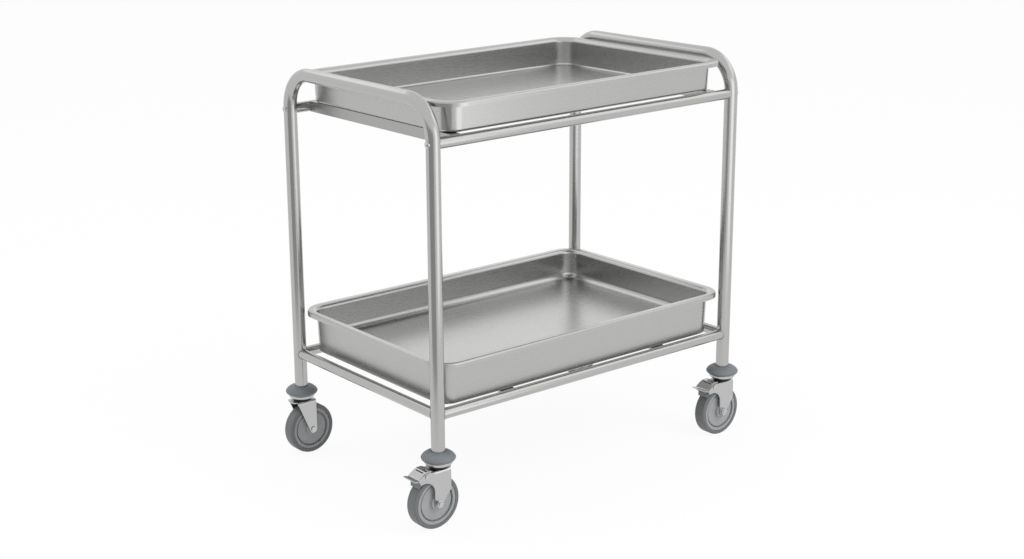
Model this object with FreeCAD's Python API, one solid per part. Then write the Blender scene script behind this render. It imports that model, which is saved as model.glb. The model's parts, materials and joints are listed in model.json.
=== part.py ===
import FreeCAD, Part
import math
import os

Vec = FreeCAD.Vector

# Two-tier dressing trolley. Millimetres, +Z up, +X along the long side towards the right-hand hoop,
# +Y towards the rear. The origin is on the floor, in the middle of the four casters.

# Hoops: one bent tube at each end
leg_spacing_x = 720.0
leg_spacing_y = 445.0
tube_d = 25.4
tube_wall = 1.2
hoop_bend_r = 67.0

# Heights, each measured from the one below it
lower_rail_rise = 66.5
tier_spacing = 486.0
hoop_rise = 70.3

# Rails and crossbars
rail_d = 20.0
rail_wall = 1.2

# Bearers under the trays
bearer_width = 20.0
bearer_sheet = 2.0
bearer_inset = 41.5
strap_width = 30.0
strap_thickness = 4.0
strap_spacing = 380.0
bearer_land = 4.0
strap_drop = 4.0

# Upper rail fasteners
bolt_d = 6.0
bolt_hole_d = 6.4
bolt_head_d = 12.0
bolt_head_h = 3.5
bolt_dome_h = 2.5
insert_length = 20.0
bolt_engagement = 14.0

# Trays
tray_sheet = 1.2
tray_flange = 19.0
tray_lip = 9.5
tray_rim_corner_r = 50.0
tray_floor_fillet = 15.0
tray_top_bend = 9.0
tray_lip_bend = 4.0
upper_tray_depth = 57.5
upper_tray_hoop_gap = 6.3
upper_tray_overhang = 11.5
upper_tray_draft = 2.0
lower_tray_depth = 84.5
lower_tray_leg_overlap = 9.7
lower_tray_overhang = 7.5
lower_tray_draft = 3.0
lower_tray_floor_rise = 22.0
skirt_bend = 10.0
skirt_return = 25.0

# Wheel
wheel_d = 100.0
tread_width = 25.0
tread_thickness = 8.0
tread_edge_r = 4.0
rim_width = 23.0
rim_thickness = 6.0
groove_width = 3.0
groove_depth = 3.5
web_inset = 2.0
hub_width = 30.0
hub_d = 26.0

# Fork
fork_sheet = 2.5
fork_side_gap = 0.5
fork_bend_r = 5.0
plain_crown_d = 56.0
braked_crown_d = 44.0
crown_over_wheel = 10.0
caster_trail = 13.5
axle_eye_r = 8.0
plain_lead_x = -20.0
plain_lead_drop = 4.5
braked_lead_x = -14.5
braked_lead_drop = 40.0

# Axle
axle_bolt_d = 8.0
axle_head_d = 11.5
axle_head_h = 2.4
axle_head_edge_r = 1.0
axle_bolt_tail = 1.5
nut_across_flats = 13.0
nut_h = 5.0
axle_sleeve_d = 12.0

# Swivel head, from the crown up to the leg
stem_d = 11.0
stem_neck_d = 10.0
stem_head_d = 16.0
stem_head_h = 2.5
stem_insertion = 36.0
stem_lead_in = 1.5
stem_head_edge_r = 1.0
thrust_ring_d = 36.0
thrust_ring_h = 5.7
race_cap_d = 50.0
race_cap_h = 6.0
race_cap_edge_r = 1.5
bumper_d = 63.0
bumper_h = 17.0
bumper_base_d = 50.0
bumper_edge_rise = 6.5
bumper_neck_d = 28.4
bumper_base_bulge = 1.8
bumper_top_bulge = 2.6
socket_length = 42.0

# Foot brake
brake_pin_x = 38.5
brake_pin_below_crown = 5.5
brake_pin_d = 5.0
brake_pin_head_d = 8.5
brake_pin_head_h = 1.6
brake_arm_shoulder_x = 41.0
brake_arm_tip_x = 56.0
brake_arm_tip_drop = 10.5
brake_arm_heel_x = 52.0
brake_arm_heel_drop = 18.5
brake_arm_r = 2.0
brake_arch_r = 22.0
brake_arch_drop = 17.0
pedal_sheet = 2.0
pedal_over_crown = 3.0
pedal_heel_x = 27.0
pedal_knee_x = 39.5
pedal_ankle_x = 55.0
pedal_toe_x = 65.0
pedal_ankle_drop = 12.5
pedal_toe_lift = 1.5
pedal_tip_gap = 2.0
pedal_slot_length = 21.5
pedal_slot_width = 2.0
pedal_slot_offset = 2.5
pedal_bend_r = 5.0
pedal_side_gap = 0.4
pedal_flange_depth = 15.0
pedal_eye_r = 5.5
shoe_gap = 3.0
shoe_start_x = 44.0
shoe_end_x = 53.0
shoe_side_gap = 0.3

# Fits
fixed_clearance = 0.05
running_clearance = 0.05
seat_gap = 0.3

# Sizes that follow from the ones above
half_x = leg_spacing_x / 2
half_y = leg_spacing_y / 2
tube_r = tube_d / 2
rail_r = rail_d / 2
wheel_r = wheel_d / 2
axle_z = wheel_r
crown_under_z = wheel_d + crown_over_wheel
crown_top_z = crown_under_z + fork_sheet
ring_top_z = crown_top_z + thrust_ring_h
cap_under_z = ring_top_z + seat_gap
bumper_under_z = cap_under_z + race_cap_h
leg_foot_z = bumper_under_z + bumper_h
lower_rail_z = leg_foot_z + lower_rail_rise
upper_rail_z = lower_rail_z + tier_spacing
hoop_top_z = upper_rail_z + hoop_rise
upper_seat_z = upper_rail_z + rail_r
lower_seat_z = lower_rail_z + rail_r - strap_drop
fork_gap = hub_width + 2 * fork_side_gap
fork_width = fork_gap + 2 * fork_sheet
tread_inner_r = wheel_r - tread_thickness
brake_pin_z = crown_top_z - brake_pin_below_crown
pedal_top_z = crown_top_z + pedal_over_crown
pedal_flange_outer = fork_gap / 2 - pedal_side_gap
long_reach = 2 * wheel_d
smallest_edge = 1e-4


def unit(vector):
    """The same direction with length one."""
    return vector * (1.0 / vector.Length)


def rounded_edges(corners, radii, closed):
    """Straight edges along (x, z) corners, with an arc of the given radius at each corner."""
    points = [Vec(x, 0.0, z) for x, z in corners]
    count = len(points)
    enters = []
    leaves = []
    arcs = []
    for index, point in enumerate(points):
        radius = radii[index]
        if radius <= 0.0:
            enters.append(point)
            leaves.append(point)
            arcs.append(None)
            continue
        back = unit(points[index - 1] - point)
        ahead = unit(points[(index + 1) % count] - point)
        half_angle = back.getAngle(ahead) / 2
        setback = radius / math.tan(half_angle)
        centre = point + unit(back + ahead) * (radius / math.sin(half_angle))
        enters.append(point + back * setback)
        leaves.append(point + ahead * setback)
        middle = centre + unit(point - centre) * radius
        arcs.append(Part.Arc(enters[-1], middle, leaves[-1]).toShape())
    edges = []
    last = count if closed else count - 1
    for index in range(count):
        if arcs[index] is not None:
            edges.append(arcs[index])
        following = enters[(index + 1) % count]
        if index < last and leaves[index].distanceToPoint(following) > smallest_edge:
            edges.append(Part.makeLine(leaves[index], following))
    return edges


def rounded_face(corners, radii):
    """A flat face in the XZ plane inside a closed outline with rounded corners."""
    return Part.Face(Part.Wire(rounded_edges(corners, radii, True)))


def prism(corners, radii, y_start, y_end):
    """An outline in the XZ plane, extruded from y_start to y_end."""
    face = rounded_face(corners, radii)
    face.translate(Vec(0, y_start, 0))
    return face.extrude(Vec(0, y_end - y_start, 0))


def turned(corners, radii):
    """An outline of (radius, z) corners revolved about the Z axis."""
    return rounded_face(corners, radii).revolve(Vec(0, 0, 0), Vec(0, 0, 1), 360)


def ring(inner_r, outer_r, z_start, z_end):
    """A plain ring about the Z axis."""
    return turned([(inner_r, z_start), (outer_r, z_start), (outer_r, z_end), (inner_r, z_end)], [0, 0, 0, 0])


def rod_x(radius, x_start, x_end, y, z):
    """A round bar along X."""
    return Part.makeCylinder(radius, x_end - x_start, Vec(x_start, y, z), Vec(1, 0, 0))


def rod_y(radius, y_start, y_end, x, z):
    """A round bar along Y."""
    return Part.makeCylinder(radius, y_end - y_start, Vec(x, y_start, z), Vec(0, 1, 0))


def across_y(shape, x, z):
    """Turn a shape made about Z so that its axis lies along Y, through (x, z)."""
    shape.rotate(Vec(0, 0, 0), Vec(1, 0, 0), 90)
    shape.translate(Vec(x, 0, z))
    return shape


def sheet_section(corners, radii, thickness):
    """A bent sheet's section: the given outer line and the same line moved inwards."""
    points = [Vec(x, 0.0, z) for x, z in corners]
    normals = []
    for start, end in zip(points, points[1:]):
        along = unit(end - start)
        normals.append(Vec(along.z, 0, -along.x))
    moved = [points[0] + normals[0] * thickness]
    for index in range(1, len(points) - 1):
        bisector = normals[index - 1] + normals[index]
        moved.append(points[index] + bisector * (2 * thickness / (bisector.Length * bisector.Length)))
    moved.append(points[-1] + normals[-1] * thickness)
    inner_radii = [0.0]
    for index in range(1, len(points) - 1):
        turn = normals[index - 1].cross(normals[index]).y
        inner_radii.append(radii[index] + math.copysign(thickness, -turn))
    inner_radii.append(0.0)
    inner = [(point.x, point.z) for point in moved]
    outline = rounded_edges(corners, radii, False)
    outline += rounded_edges(inner, inner_radii, False)
    outline.append(Part.makeLine(points[0], moved[0]))
    outline.append(Part.makeLine(points[-1], moved[-1]))
    return Part.Face(Part.Wire(Part.__sortEdges__(outline)))


# Frame


def hoop_rod(side_x, radius):
    """The solid bar that follows one hoop's centre line: two legs, two bends and the top bar."""
    x = side_x * half_x
    bend_z = hoop_top_z - hoop_bend_r
    bar_half = half_y - hoop_bend_r
    pieces = []
    for side_y in (-1, 1):
        y = side_y * half_y
        pieces.append(Part.makeCylinder(radius, bend_z - leg_foot_z, Vec(x, y, leg_foot_z)))
        disc = Part.Face(Part.Wire(Part.makeCircle(radius, Vec(x, y, bend_z), Vec(0, 0, 1))))
        pieces.append(disc.revolve(Vec(x, side_y * bar_half, bend_z), Vec(side_y, 0, 0), 90))
    bar = rod_y(radius, -bar_half, bar_half, x, hoop_top_z)
    return bar.multiFuse(pieces).removeSplitter()


def end_hoop(side_x):
    """One hoop: a hollow bent tube, drilled across for the upper rails' bolts."""
    hoop = hoop_rod(side_x, tube_r).cut(hoop_rod(side_x, tube_r - tube_wall))
    for side_y in (-1, 1):
        x = side_x * half_x
        hoop = hoop.cut(rod_x(bolt_hole_d / 2, x - tube_d, x + tube_d, side_y * half_y, upper_rail_z))
    return hoop


def long_rail(side_y, z):
    """A tube along X between the hoops, its ends coped to the legs."""
    y = side_y * half_y
    rail = rod_x(rail_r, -half_x, half_x, y, z).cut(rod_x(rail_r - rail_wall, -half_x, half_x, y, z))
    return rail.cut(hoop_rod(-1, tube_r)).cut(hoop_rod(1, tube_r))


def crossbar(side_x):
    """A tube along Y between one hoop's legs, coped to the legs and to the long rails beside them."""
    x = side_x * half_x
    bar = rod_y(rail_r, -half_y, half_y, x, lower_rail_z)
    bar = bar.cut(rod_y(rail_r - rail_wall, -half_y, half_y, x, lower_rail_z))
    for side_y in (-1, 1):
        bar = bar.cut(rod_x(rail_r, -half_x, half_x, side_y * half_y, lower_rail_z))
    return bar.cut(hoop_rod(side_x, tube_r))


def fitted_between_rails(bar, rail_z):
    """Cope a bar's two ends to the long rails at one height."""
    for side_y in (-1, 1):
        bar = bar.cut(rod_x(rail_r, -half_x, half_x, side_y * half_y, rail_z))
    return bar


def upper_bearer(side_x):
    """An angle section along Y, upright on the outer side, its top flush with the rails."""
    outer = side_x * (half_x - bearer_inset)
    inner = outer - side_x * bearer_width
    web = outer - side_x * bearer_sheet
    top = upper_seat_z
    corners = [(outer, top), (inner, top), (inner, top - bearer_sheet), (web, top - bearer_sheet),
               (web, top - bearer_width), (outer, top - bearer_width)]
    reach = half_y - bearer_land
    return fitted_between_rails(prism(corners, [0, 0, 0, 0, 0, 0], -reach, reach), upper_rail_z)


def lower_bearer(side_x):
    """A flat strap along Y, its top a little below the top of the lower rails."""
    x = side_x * strap_spacing / 2
    reach = half_y - bearer_land
    strap = Part.makeBox(strap_width, 2 * reach, strap_thickness,
                         Vec(x - strap_width / 2, -reach, lower_seat_z - strap_thickness))
    return fitted_between_rails(strap, lower_rail_z)


def rail_end(side_x, outward):
    """The x of a point that lies a distance outside the leg's axis, away from the middle."""
    return side_x * (half_x + outward)


def rail_end_insert(side_x, side_y):
    """A threaded slug in one end of an upper rail."""
    near = rail_end(side_x, -tube_r - seat_gap)
    ends = sorted((near, near - side_x * insert_length))
    y = side_y * half_y
    slug = rod_x(rail_r - rail_wall - fixed_clearance, ends[0], ends[1], y, upper_rail_z)
    slug = slug.cut(rod_x(bolt_d / 2 + fixed_clearance, ends[0], ends[1], y, upper_rail_z))
    return slug.cut(hoop_rod(side_x, tube_r))


def rail_bolt(side_x, side_y):
    """A dome-head bolt through the leg into the rail's slug, its head hollowed to sit on the tube."""
    head_r = bolt_head_d / 2
    rim = bolt_head_h - bolt_dome_h
    dome_r = (head_r ** 2 + bolt_dome_h ** 2) / (2 * bolt_dome_h)
    skirt = -bolt_head_h
    crest = Vec(0, 0, bolt_head_h)
    shoulder = Vec(head_r, 0, rim)
    middle = Vec(head_r / 2, 0, bolt_head_h - dome_r + math.sqrt(dome_r ** 2 - (head_r / 2) ** 2))
    base = Vec(0, 0, skirt)
    corner = Vec(head_r, 0, skirt)
    wire = Part.Wire([Part.makeLine(base, corner), Part.makeLine(corner, shoulder),
                      Part.Arc(shoulder, middle, crest).toShape(), Part.makeLine(crest, base)])
    head = Part.Face(wire).revolve(Vec(0, 0, 0), Vec(0, 0, 1), 360)
    head.rotate(Vec(0, 0, 0), Vec(0, 1, 0), 90 * side_x)
    head.translate(Vec(rail_end(side_x, tube_r), side_y * half_y, upper_rail_z))
    head = head.cut(hoop_rod(side_x, tube_r))
    tip = rail_end(side_x, -tube_r - seat_gap - bolt_engagement)
    ends = sorted((rail_end(side_x, tube_r + rim / 2), tip))
    shank = rod_x(bolt_d / 2, ends[0], ends[1], side_y * half_y, upper_rail_z)
    return head.fuse(shank).removeSplitter()


def at_each_leg(make):
    """One group of four solids, made by a function of the leg's two sides."""
    return Part.makeCompound([make(side_x, side_y) for side_x in (-1, 1) for side_y in (-1, 1)])


def leg_end_socket(side_x, side_y):
    """The sleeve inside one leg's foot that grips a caster stem."""
    socket = ring(stem_d / 2 + fixed_clearance, tube_r - tube_wall - fixed_clearance,
                  leg_foot_z, leg_foot_z + socket_length)
    socket.translate(Vec(side_x * half_x, side_y * half_y, 0))
    return socket


# Trays


def tray_section(depth, draft, seat_z, floor_rise):
    """The tray's edge from the corner axis outwards: floor, wall, flange and turned-down lip."""
    wall_top_r = tray_rim_corner_r - tray_flange
    base_z = seat_z + tray_sheet
    rim_z = seat_z + depth
    lean = draft / (rim_z - base_z)
    rim = [(wall_top_r, rim_z), (tray_rim_corner_r, rim_z), (tray_rim_corner_r, rim_z - tray_lip)]
    rim_radii = [tray_top_bend, tray_lip_bend, 0.0]
    if floor_rise == 0:
        corners = [(0.0, base_z), (wall_top_r - draft, base_z)] + rim
        return sheet_section(corners, [0.0, tray_floor_fillet - tray_sheet] + rim_radii, tray_sheet)
    # A raised floor meets the wall above a skirt, which turns in at its foot
    skirt_inner_r = wall_top_r - draft - skirt_return
    corners = [(skirt_inner_r, base_z), (wall_top_r - draft, base_z)] + rim
    skirt = sheet_section(corners, [0.0, skirt_bend - tray_sheet] + rim_radii, tray_sheet)
    floor_z = base_z + floor_rise
    pan_top_z = floor_z + 2 * tray_floor_fillet
    wall_r = [wall_top_r - lean * (rim_z - z) for z in (floor_z, pan_top_z)]
    pan = sheet_section([(0.0, floor_z), (wall_r[0], floor_z), (wall_r[1], pan_top_z)],
                        [0.0, tray_floor_fillet - tray_sheet, 0.0], tray_sheet)
    return skirt.fuse(pan).removeSplitter().Faces[0]


def tray(rim_half_x, rim_half_y, depth, draft, seat_z, floor_rise):
    """A pressed tray: its section drawn along four sides and turned round four corners."""
    section = tray_section(depth, draft, seat_z, floor_rise)
    corner_x = rim_half_x - tray_rim_corner_r
    corner_y = rim_half_y - tray_rim_corner_r
    floor = Part.makeBox(2 * corner_x, 2 * corner_y, tray_sheet,
                         Vec(-corner_x, -corner_y, seat_z + floor_rise))
    pieces = []
    for quarter in range(4):
        out, along = (corner_x, corner_y) if quarter % 2 == 0 else (corner_y, corner_x)
        side = section.extrude(Vec(0, 2 * along, 0))
        side.translate(Vec(out, -along, 0))
        corner = section.revolve(Vec(0, 0, 0), Vec(0, 0, 1), 90)
        corner.translate(Vec(out, along, 0))
        for piece in (side, corner):
            piece.rotate(Vec(0, 0, 0), Vec(0, 0, 1), 90 * quarter)
            pieces.append(piece)
    return floor.multiFuse(pieces).removeSplitter()


def upper_tray():
    """The upper tray, just shorter than the space between the hoops."""
    return tray(half_x - tube_r - upper_tray_hoop_gap, half_y + upper_tray_overhang,
                upper_tray_depth, upper_tray_draft, upper_seat_z, 0.0)


def lower_tray():
    """The lower tray, long enough for its rounded corners to reach in between the legs."""
    return tray(half_x - tube_r + lower_tray_leg_overlap, half_y + lower_tray_overhang,
                lower_tray_depth, lower_tray_draft, lower_seat_z, lower_tray_floor_rise)


# Casters, made with the swivel axis on the Z axis and the wheel behind it, towards +X


def caster_stem():
    """The swivel stem, riveted over under the fork's crown."""
    neck_top = cap_under_z
    head_top = crown_under_z - seat_gap
    neck_r = stem_neck_d / 2
    corners = [(0, head_top - stem_head_h), (stem_head_d / 2, head_top - stem_head_h),
               (stem_head_d / 2, head_top), (neck_r, head_top), (neck_r, neck_top), (stem_d / 2, neck_top),
               (stem_d / 2, leg_foot_z + stem_insertion), (0, leg_foot_z + stem_insertion)]
    return turned(corners, [0, stem_head_edge_r, 0, 0, 0, 0, stem_lead_in, 0])


def thrust_ring():
    """The plastic ring between the crown and the race cap, waisted at its middle."""
    bore = stem_neck_d / 2 + running_clearance
    outer = thrust_ring_d / 2
    waist = outer - fork_sheet
    middle = (crown_top_z + ring_top_z) / 2
    corners = [(bore, crown_top_z), (outer, crown_top_z), (waist, middle), (outer, ring_top_z),
               (bore, ring_top_z)]
    return turned(corners, [0, 0, 0, 0, 0])


def race_cap():
    """The zinc ring that closes the swivel's upper race, with a rounded outer edge."""
    bore = stem_d / 2 + fixed_clearance
    outer = race_cap_d / 2
    corners = [(bore, cap_under_z), (outer, cap_under_z), (outer, bumper_under_z), (bore, bumper_under_z)]
    return turned(corners, [0, race_cap_edge_r, race_cap_edge_r, 0])


def bulged(start, end, height):
    """A point that stands off the middle of a chord, to the right of the way it runs."""
    along = unit(end - start)
    return (start + end) * 0.5 + Vec(along.z, 0, -along.x) * height


def bumper_disc():
    """The lens-shaped wall bumper between the race cap and the leg."""
    bore = stem_d / 2 + fixed_clearance
    edge = Vec(bumper_d / 2, 0, bumper_under_z + bumper_edge_rise)
    base = Vec(bumper_base_d / 2, 0, bumper_under_z)
    neck = Vec(bumper_neck_d / 2, 0, leg_foot_z)
    low_middle = bulged(base, edge, bumper_base_bulge)
    high_middle = bulged(edge, neck, bumper_top_bulge)
    inner_low = Vec(bore, 0, bumper_under_z)
    inner_high = Vec(bore, 0, leg_foot_z)
    wire = Part.Wire([Part.makeLine(inner_low, base), Part.Arc(base, low_middle, edge).toShape(),
                      Part.Arc(edge, high_middle, neck).toShape(), Part.makeLine(neck, inner_high),
                      Part.makeLine(inner_high, inner_low)])
    return Part.Face(wire).revolve(Vec(0, 0, 0), Vec(0, 0, 1), 360)


def plate_prism(lead_x, lead_drop):
    """The side view of a fork plate: upright behind the axle and sloping to it in front."""
    eye_x = caster_trail
    eye_low = axle_z - axle_eye_r
    lead_z = crown_top_z - lead_drop
    run = Vec(eye_x - lead_x, 0, axle_z - lead_z)
    slope = math.atan2(-run.z, run.x) + math.asin(axle_eye_r / run.Length)
    foot_x = lead_x + (lead_z - eye_low) / math.tan(slope)
    corners = [(lead_x, crown_top_z), (eye_x + axle_eye_r, crown_top_z), (eye_x + axle_eye_r, eye_low),
               (foot_x, eye_low), (lead_x, lead_z)]
    # The two lower corners are rounded by the eye's own radius, so they meet on its circle
    radii = [0, 0, axle_eye_r, axle_eye_r, axle_eye_r]
    return prism(corners, radii, -fork_width, fork_width)


def brake_arms():
    """Two flat arms that reach back over the wheel to the pedal's pin, with an arch under them."""
    plate_end_x = caster_trail + axle_eye_r
    arch_x = plate_end_x + brake_arch_r
    arch_z = crown_top_z - brake_arch_drop - brake_arch_r
    flat_top_z = crown_top_z - fork_bend_r
    corners = [(caster_trail, flat_top_z), (plate_end_x, flat_top_z), (plate_end_x, crown_top_z),
               (brake_arm_shoulder_x, crown_top_z),
               (brake_arm_tip_x, crown_top_z - brake_arm_tip_drop),
               (brake_arm_heel_x, crown_top_z - brake_arm_heel_drop),
               (arch_x, arch_z), (caster_trail, arch_z)]
    radii = [0, 0, 0, brake_arch_r, brake_arm_r, brake_arm_r, 0, 0]
    arms = []
    for faces in ((-fork_width / 2, -fork_gap / 2), (fork_gap / 2, fork_width / 2)):
        arms.append(prism(corners, radii, faces[0], faces[1]))
    return Part.makeCompound(arms).cut(rod_y(brake_arch_r, -fork_width, fork_width, arch_x, arch_z))


def pin_hole(clearance):
    """The bar that a brake pin's hole takes away."""
    return rod_y(brake_pin_d / 2 + clearance, -fork_width, fork_width, brake_pin_x, brake_pin_z)


def fork(braked):
    """A pressed fork: a channel bent round the wheel, cut to the plate's side view, with a round nose."""
    half_in = fork_gap / 2
    low = axle_z - 2 * axle_eye_r
    sections = []
    for half, top, bend in ((fork_width / 2, crown_top_z, fork_bend_r),
                            (half_in, crown_under_z, fork_bend_r - fork_sheet)):
        outline = [(-half, low), (-half, top), (half, top), (half, low)]
        sections.append(rounded_face(outline, [0, bend, bend, 0]))
    channel = sections[0].cut(sections[1])
    channel.rotate(Vec(0, 0, 0), Vec(0, 0, 1), 90)
    channel.translate(Vec(-long_reach / 2, 0, 0))
    channel = channel.extrude(Vec(long_reach, 0, 0))
    if braked:
        body = channel.common(plate_prism(braked_lead_x, braked_lead_drop)).fuse(brake_arms())
        body = body.cut(pin_hole(fixed_clearance))
        nose_r = braked_crown_d / 2
    else:
        body = channel.common(plate_prism(plain_lead_x, plain_lead_drop))
        nose_r = plain_crown_d / 2
    flat = fork_width / 2 - fork_bend_r
    nose = Part.makeCylinder(nose_r, fork_sheet, Vec(0, 0, crown_under_z))
    between_bends = Part.makeBox(nose_r + caster_trail, 2 * flat, fork_sheet,
                                 Vec(-nose_r, -flat, crown_under_z))
    body = body.fuse(nose.common(between_bends))
    body = body.cut(Part.makeCylinder(stem_neck_d / 2 + running_clearance, 2 * fork_sheet,
                                      Vec(0, 0, crown_under_z - fork_sheet / 2)))
    body = body.cut(rod_y(axle_bolt_d / 2 + fixed_clearance, -fork_width, fork_width, caster_trail, axle_z))
    return body.removeSplitter()


def axle_bolt():
    """The bolt through the fork, with its head in front and its nut behind."""
    plate = fork_width / 2
    shank_end = plate + nut_h + axle_bolt_tail
    bolt = rod_y(axle_bolt_d / 2, -plate, shank_end, caster_trail, axle_z)
    head_corners = [(0, 0), (axle_head_d / 2, 0), (axle_head_d / 2, axle_head_h), (0, axle_head_h)]
    head = across_y(turned(head_corners, [0, 0, axle_head_edge_r, 0]), caster_trail, axle_z)
    head.translate(Vec(0, -plate, 0))
    flat_r = nut_across_flats / math.sqrt(3)
    nut_corners = [(caster_trail + flat_r * math.cos(math.radians(60 * k)),
                    axle_z + flat_r * math.sin(math.radians(60 * k))) for k in range(6)]
    nut = prism(nut_corners, [0] * 6, plate, plate + nut_h)
    nut = nut.cut(rod_y(axle_bolt_d / 2 + fixed_clearance, plate, plate + nut_h, caster_trail, axle_z))
    return Part.makeCompound([bolt.fuse(head).removeSplitter(), nut])


def axle_sleeve():
    """The spacer that the bolt clamps between the plates, on which the wheel turns."""
    tube = ring(axle_bolt_d / 2 + fixed_clearance, axle_sleeve_d / 2, -fork_gap / 2, fork_gap / 2)
    return across_y(tube, caster_trail, axle_z)


def wheel_core():
    """The wheel's body: hub, flat web, groove and rim, revolved from one outline."""
    bore = axle_sleeve_d / 2 + running_clearance
    rim_outer = tread_inner_r
    rim_inner = rim_outer - rim_thickness
    web_outer = rim_inner - groove_width
    rim_half = rim_width / 2
    web_half = rim_half - web_inset
    groove_half = web_half - groove_depth
    hub_half = hub_width / 2
    upper = [(bore, hub_half), (hub_d / 2, hub_half), (hub_d / 2, web_half), (web_outer, web_half),
             (web_outer, groove_half), (rim_inner, groove_half), (rim_inner, rim_half), (rim_outer, rim_half)]
    lower = [(radius, -z) for radius, z in reversed(upper)]
    return across_y(turned(upper + lower, [0] * 16), caster_trail, axle_z)


def tyre():
    """The tread moulded round the wheel's rim, with rounded edges."""
    half = tread_width / 2
    corners = [(tread_inner_r, -half), (wheel_r, -half), (wheel_r, half), (tread_inner_r, half)]
    return across_y(turned(corners, [0, tread_edge_r, tread_edge_r, 0]), caster_trail, axle_z)


def pedal_line():
    """The pedal's upper line, from its heel over the crown to the turned-up toe."""
    ankle_z = pedal_top_z - pedal_ankle_drop
    return [(pedal_heel_x, pedal_top_z), (pedal_knee_x, pedal_top_z), (pedal_ankle_x, ankle_z),
            (pedal_toe_x, ankle_z + pedal_toe_lift)]


def brake_pedal():
    """The pressed pedal: a bent, slotted tread plate with a flange on each side and a wider toe."""
    section = sheet_section(pedal_line(), [0, pedal_bend_r, pedal_bend_r, 0], pedal_sheet)
    plates = []
    for half in (pedal_flange_outer, fork_width / 2):
        plate = section.extrude(Vec(0, 2 * half, 0))
        plate.translate(Vec(0, -half, 0))
        plates.append(plate)
    wing_x = brake_arm_tip_x + pedal_tip_gap
    beyond_arms = Part.makeBox(long_reach, 2 * fork_width, long_reach, Vec(wing_x, -fork_width, axle_z))
    body = plates[0].fuse(plates[1].common(beyond_arms))
    ankle_z = pedal_top_z - pedal_ankle_drop
    top = pedal_top_z - pedal_sheet / 2
    low = pedal_top_z - pedal_flange_depth
    corners = [(pedal_heel_x, top), (pedal_knee_x - pedal_sheet / 4, top),
               (pedal_ankle_x - pedal_sheet / 2, ankle_z - pedal_sheet / 4),
               (pedal_ankle_x - 2 * pedal_sheet, ankle_z - 2 * pedal_sheet),
               (brake_pin_x + pedal_eye_r, low), (pedal_heel_x, low)]
    pieces = []
    for side in (-1, 1):
        faces = sorted((side * pedal_flange_outer, side * (pedal_flange_outer - pedal_sheet)))
        pieces.append(prism(corners, [0, 0, 0, pedal_sheet / 2, 0, pedal_eye_r / 2], faces[0], faces[1]))
    body = body.multiFuse(pieces).removeSplitter()
    knee, ankle = [Vec(x, 0, z) for x, z in pedal_line()[1:3]]
    along = unit(ankle - knee)
    across = Vec(along.z, 0, -along.x) * (2 * pedal_sheet)
    near = knee + along * pedal_slot_offset
    far = near + along * pedal_slot_width
    ends = [near - across, far - across, far + across, near + across]
    slot_half = pedal_slot_length / 2
    slot = prism([(end.x, end.z) for end in ends], [0, 0, 0, 0], -slot_half, slot_half)
    return body.cut(slot).cut(pin_hole(running_clearance))


def brake_shoe():
    """The block under the pedal, hollowed to the tread that it presses on."""
    half = pedal_flange_outer - pedal_sheet - shoe_side_gap
    block = prism([(shoe_start_x, axle_z), (shoe_end_x, axle_z), (shoe_end_x, pedal_top_z),
                   (shoe_start_x, pedal_top_z)], [0, 0, 0, 0], -half, half)
    line = [Vec(x, 0, z) for x, z in pedal_line()]
    along = unit(line[2] - line[1])
    under = Vec(along.z, 0, -along.x) * pedal_sheet
    start = line[1] + under - along * wheel_r
    end = line[2] + under + along * wheel_r
    above = [(start.x, start.z), (end.x, end.z), (end.x - under.x * wheel_r, end.z - under.z * wheel_r),
             (start.x - under.x * wheel_r, start.z - under.z * wheel_r)]
    block = block.cut(prism(above, [0, 0, 0, 0], -fork_width, fork_width))
    return block.cut(rod_y(wheel_r + shoe_gap, -fork_width, fork_width, caster_trail, axle_z))


def brake_pin():
    """The rivet that carries the pedal between the fork's arms."""
    reach = fork_width / 2
    pin = rod_y(brake_pin_d / 2, -reach, reach, brake_pin_x, brake_pin_z)
    for start in (-reach - brake_pin_head_h, reach):
        pin = pin.fuse(rod_y(brake_pin_head_d / 2, start, start + brake_pin_head_h, brake_pin_x, brake_pin_z))
    return pin.removeSplitter()


def placed(shape, side_x, side_y, trails_to):
    """Move a caster's piece under its leg, with its wheel trailing towards +X or -X."""
    if trails_to < 0:
        shape.rotate(Vec(0, 0, 0), Vec(0, 0, 1), 180)
    shape.translate(Vec(side_x * half_x, side_y * half_y, 0))
    return shape


def caster(prefix, side_x, side_y, trails_to, braked):
    """Every piece of one caster, by node name."""
    pieces = {
        "caster_stem": caster_stem(), "bumper_disc": bumper_disc(), "race_cap": race_cap(),
        "thrust_ring": thrust_ring(), "fork": fork(braked), "axle_bolt": axle_bolt(),
        "axle_sleeve": axle_sleeve(), "wheel_core": wheel_core(), "tyre": tyre(),
    }
    if braked:
        pieces.update({"brake_pedal": brake_pedal(), "brake_shoe": brake_shoe(), "brake_pin": brake_pin()})
    return {prefix + "_" + name: placed(shape, side_x, side_y, trails_to) for name, shape in pieces.items()}


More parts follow.
